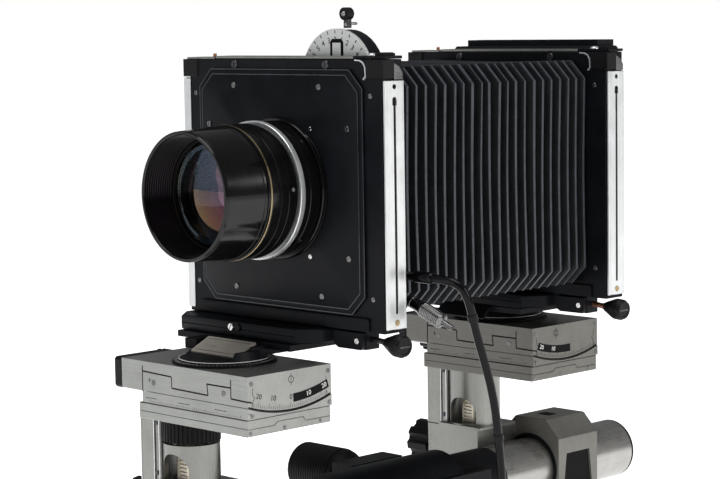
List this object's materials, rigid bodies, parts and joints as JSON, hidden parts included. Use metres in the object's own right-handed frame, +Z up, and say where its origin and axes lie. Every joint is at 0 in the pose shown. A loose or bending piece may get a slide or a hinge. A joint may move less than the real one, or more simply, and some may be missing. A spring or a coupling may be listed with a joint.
{
  "type": "large format view camera",
  "caption": "Monorail large format view camera with pleated bellows, geared front and rear standards, behind-lens shutter, lens, ground glass back and a cable release.",
  "frame": {"origin": "centre of the tripod face under the rail clamp, below the rail axis", "axes": "+Z up, -Y the way the lens looks, +X to the right of a viewer who faces the lens"},
  "size_m": [0.2599, 0.45, 0.3543],
  "materials": {
    "black_anodised": "satin black anodised, slightly worn at the edges",
    "gloss_black": "deep gloss black enamel",
    "black_knob": "matt black moulded grip",
    "satin_aluminium": "satin brushed aluminium",
    "bright_rail": "bright satin aluminium",
    "cast_grey": "warm grey silk enamel",
    "chrome": "polished chrome",
    "brass": "lacquered brass",
    "champagne": "champagne anodised",
    "bellows": "black pleated bellows leather",
    "coated_glass": "coated optical glass",
    "ground_glass": "finely ground glass",
    "dial_silver": "silvered dial with engraved marks",
    "cable_rubber": "black rubber sheath"
  },
  "bodies": {
    "root": {"rail_tube": "satin_aluminium", "rail_cap_front": "black_knob", "rail_cap_rear": "black_knob", "clamp_body": "black_anodised", "bellows": "bellows"},
    "clamp_knob_body": {"clamp_knob": "black_knob"},
    "front_carriage": {"front_bearer": "cast_grey", "front_column": "satin_aluminium"},
    "front_focus_knob_body": {"front_focus_knob": "black_knob"},
    "front_riser": {"front_rack": "champagne", "front_base_plate": "satin_aluminium", "front_lift_collar": "black_knob"},
    "front_cross": {"front_cradle": "satin_aluminium"},
    "front_tilt": {"front_tilt_block": "satin_aluminium", "front_tilt_cap": "black_knob", "front_degree_disc": "black_anodised"},
    "front_tilt_knob_body": {"front_tilt_knob": "black_knob"},
    "front_swing": {"front_turret": "black_anodised", "front_carrier_bar": "black_anodised", "front_frame": "black_anodised", "front_side_rail_left": "bright_rail", "front_side_rail_right": "bright_rail", "lens_board": "black_anodised", "lens_flange": "gloss_black", "lens_rear_barrel": "gloss_black", "lens_middle_barrel": "gloss_black", "lens_brass_ring": "brass", "lens_hood": "gloss_black", "front_glass": "coated_glass", "rear_glass": "coated_glass", "shutter_housing": "black_anodised", "cable_sleeve": "black_knob", "release_cable": "cable_rubber", "release_plunger": "chrome", "sync_plug": "chrome"},
    "front_latch": {"front_top_latch": "black_anodised"},
    "front_lock": {"front_frame_lock": "black_anodised"},
    "rear_carriage": {"rear_bearer": "cast_grey", "rear_column": "satin_aluminium"},
    "rear_focus_knob_body": {"rear_focus_knob": "black_knob"},
    "rear_riser": {"rear_rack": "champagne", "rear_base_plate": "satin_aluminium"},
    "rear_cross": {"rear_cradle": "satin_aluminium"},
    "rear_tilt": {"rear_tilt_block": "satin_aluminium", "rear_tilt_cap": "black_knob", "rear_degree_disc": "black_anodised"},
    "rear_tilt_knob_body": {"rear_tilt_knob": "black_knob"},
    "rear_swing": {"rear_turret": "black_anodised", "rear_carrier_bar": "black_anodised", "rear_frame": "black_anodised", "rear_side_rail_left": "bright_rail", "rear_side_rail_right": "bright_rail", "back_frame": "black_anodised", "ground_glass": "ground_glass"},
    "rear_latch": {"rear_top_latch": "black_anodised"},
    "rear_lock": {"rear_frame_lock": "black_anodised"},
    "aperture": {"aperture_ring": "bright_rail", "iris_blades": "black_anodised"},
    "dial": {"speed_dial": "dial_silver"},
    "lever": {"shutter_lever": "black_knob"}
  },
  "joints": [
    {"name": "clamp_knob_turn", "type": "hinge", "parent": "root", "child": "clamp_knob_body", "pos_m": [0, 0.005, 0.054], "axis": [1, 0, 0], "range_deg": [-170, 170]},
    {"name": "front_focus", "type": "slide", "parent": "root", "child": "front_carriage", "axis": [0, 1, 0], "range_m": [-0.05, 0.017], "deforming": ["bellows"]},
    {"name": "front_focus_knob_turn", "type": "hinge", "parent": "front_carriage", "child": "front_focus_knob_body", "pos_m": [-0.0605, -0.132, 0.055], "axis": [1, 0, 0], "range_deg": [-230, 230]},
    {"name": "front_rise", "type": "slide", "parent": "front_carriage", "child": "front_riser", "axis": [0, 0, 1], "range_m": [0, 0.045]},
    {"name": "front_shift", "type": "slide", "parent": "front_riser", "child": "front_cross", "axis": [1, 0, 0], "range_m": [-0.02, 0.02]},
    {"name": "front_tilt", "type": "hinge", "parent": "front_cross", "child": "front_tilt", "pos_m": [0.015, -0.128, 0.2227], "axis": [1, 0, 0], "range_deg": [-12, 12]},
    {"name": "front_tilt_knob_turn", "type": "hinge", "parent": "front_tilt", "child": "front_tilt_knob_body", "pos_m": [-0.057, -0.115, 0.1314], "axis": [1, 0, 0], "range_deg": [-160, 160]},
    {"name": "front_swing", "type": "hinge", "parent": "front_tilt", "child": "front_swing", "pos_m": [-0.001, -0.128, 0.1487], "axis": [0, 0, 1], "range_deg": [-15, 15]},
    {"name": "front_latch_slide", "type": "slide", "parent": "front_swing", "child": "front_latch", "axis": [1, 0, 0], "range_m": [0, 0.008]},
    {"name": "front_lock_turn", "type": "hinge", "parent": "front_swing", "child": "front_lock", "pos_m": [0.081, -0.0865, 0.1643], "axis": [0.9962, 0, -0.0872], "range_deg": [-60, 60]},
    {"name": "rear_focus", "type": "slide", "parent": "root", "child": "rear_carriage", "axis": [0, 1, 0], "range_m": [-0.04, 0.04]},
    {"name": "rear_focus_knob_turn", "type": "hinge", "parent": "rear_carriage", "child": "rear_focus_knob_body", "pos_m": [-0.0605, 0.1204, 0.055], "axis": [1, 0, 0], "range_deg": [-230, 230]},
    {"name": "rear_rise", "type": "slide", "parent": "rear_carriage", "child": "rear_riser", "axis": [0, 0, 1], "range_m": [0, 0.045]},
    {"name": "rear_shift", "type": "slide", "parent": "rear_riser", "child": "rear_cross", "axis": [1, 0, 0], "range_m": [-0.02, 0.02]},
    {"name": "rear_tilt", "type": "hinge", "parent": "rear_cross", "child": "rear_tilt", "pos_m": [0.015, 0.1169, 0.2227], "axis": [1, 0, 0], "range_deg": [-12, 12]},
    {"name": "rear_tilt_knob_turn", "type": "hinge", "parent": "rear_tilt", "child": "rear_tilt_knob_body", "pos_m": [-0.057, 0.1299, 0.1314], "axis": [1, 0, 0], "range_deg": [-160, 160]},
    {"name": "rear_swing", "type": "hinge", "parent": "rear_tilt", "child": "rear_swing", "pos_m": [-0.001, 0.1169, 0.1487], "axis": [0, 0, 1], "range_deg": [-15, 15]},
    {"name": "rear_latch_slide", "type": "slide", "parent": "rear_swing", "child": "rear_latch", "axis": [1, 0, 0], "range_m": [0, 0.008]},
    {"name": "rear_lock_turn", "type": "hinge", "parent": "rear_swing", "child": "rear_lock", "pos_m": [0.081, 0.1127, 0.1643], "axis": [0.9962, 0, -0.0872], "range_deg": [-60, 60]},
    {"name": "aperture_turn", "type": "hinge", "parent": "front_swing", "child": "aperture", "pos_m": [0.015, -0.115, 0.2489], "axis": [0, 1, 0], "range_deg": [-60, 60]},
    {"name": "speed_dial_turn", "type": "hinge", "parent": "front_swing", "child": "dial", "pos_m": [0.045, -0.078, 0.3129], "axis": [0, 1, 0], "range_deg": [-120, 120]},
    {"name": "shutter_lever_turn", "type": "hinge", "parent": "front_swing", "child": "lever", "pos_m": [0.045, -0.078, 0.3129], "axis": [0, 1, 0], "range_deg": [-35, 35]}
  ],
  "couplings": [
    {"joint": "front_focus_knob_turn", "follows": "front_focus", "rad_per_m": 70},
    {"joint": "front_tilt_knob_turn", "follows": "front_tilt", "ratio": 10},
    {"joint": "rear_focus_knob_turn", "follows": "rear_focus", "rad_per_m": 70},
    {"joint": "rear_tilt_knob_turn", "follows": "rear_tilt", "ratio": 10}
  ]
}
